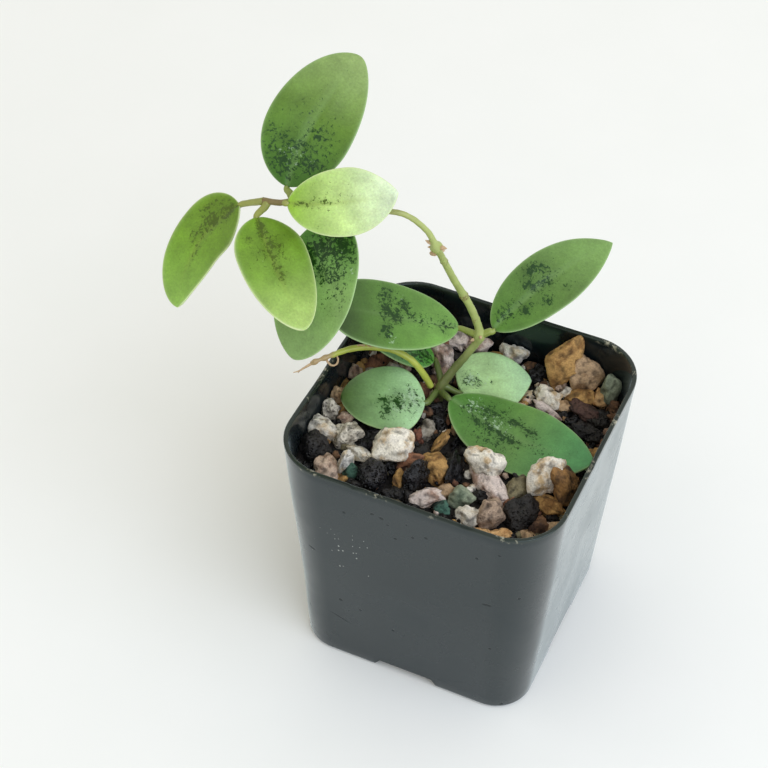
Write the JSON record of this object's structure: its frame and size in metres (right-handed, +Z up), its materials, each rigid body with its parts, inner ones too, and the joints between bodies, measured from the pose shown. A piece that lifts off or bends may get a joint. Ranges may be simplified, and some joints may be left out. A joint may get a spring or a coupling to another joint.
{
  "type": "potted hoya plant",
  "caption": "Young vining hoya with thick oval leaves, a bare runner and an arching shoot, in a square tapered nursery pot filled with potting grit.",
  "frame": {"origin": "middle of the whole plant's bounding box, on the surface the pot stands on", "axes": "+Z up; -Y out of the pot's front face, +X out of its right face"},
  "size_m": [0.1136, 0.0922, 0.1513],
  "materials": {
    "pot_plastic": "satin",
    "grit": "matte",
    "stem": "satin",
    "runner": "satin",
    "mature_leaf": "satin",
    "young_leaf": "satin"
  },
  "bodies": {
    "root": {"pot": "pot_plastic", "gravel_bed": "grit", "climbing_stem": "stem", "bare_runner": "runner", "leaf_node_left": "mature_leaf", "leaf_node_right": "mature_leaf", "leaf_top": "mature_leaf", "leaf_hanging": "mature_leaf", "leaf_tip_left": "young_leaf", "leaf_tip_centre": "young_leaf", "leaf_tip_right": "young_leaf", "leaf_crown_left": "mature_leaf", "leaf_crown_front": "mature_leaf", "leaf_crown_right": "mature_leaf", "leaf_crown_back": "mature_leaf"}
  },
  "joints": []
}
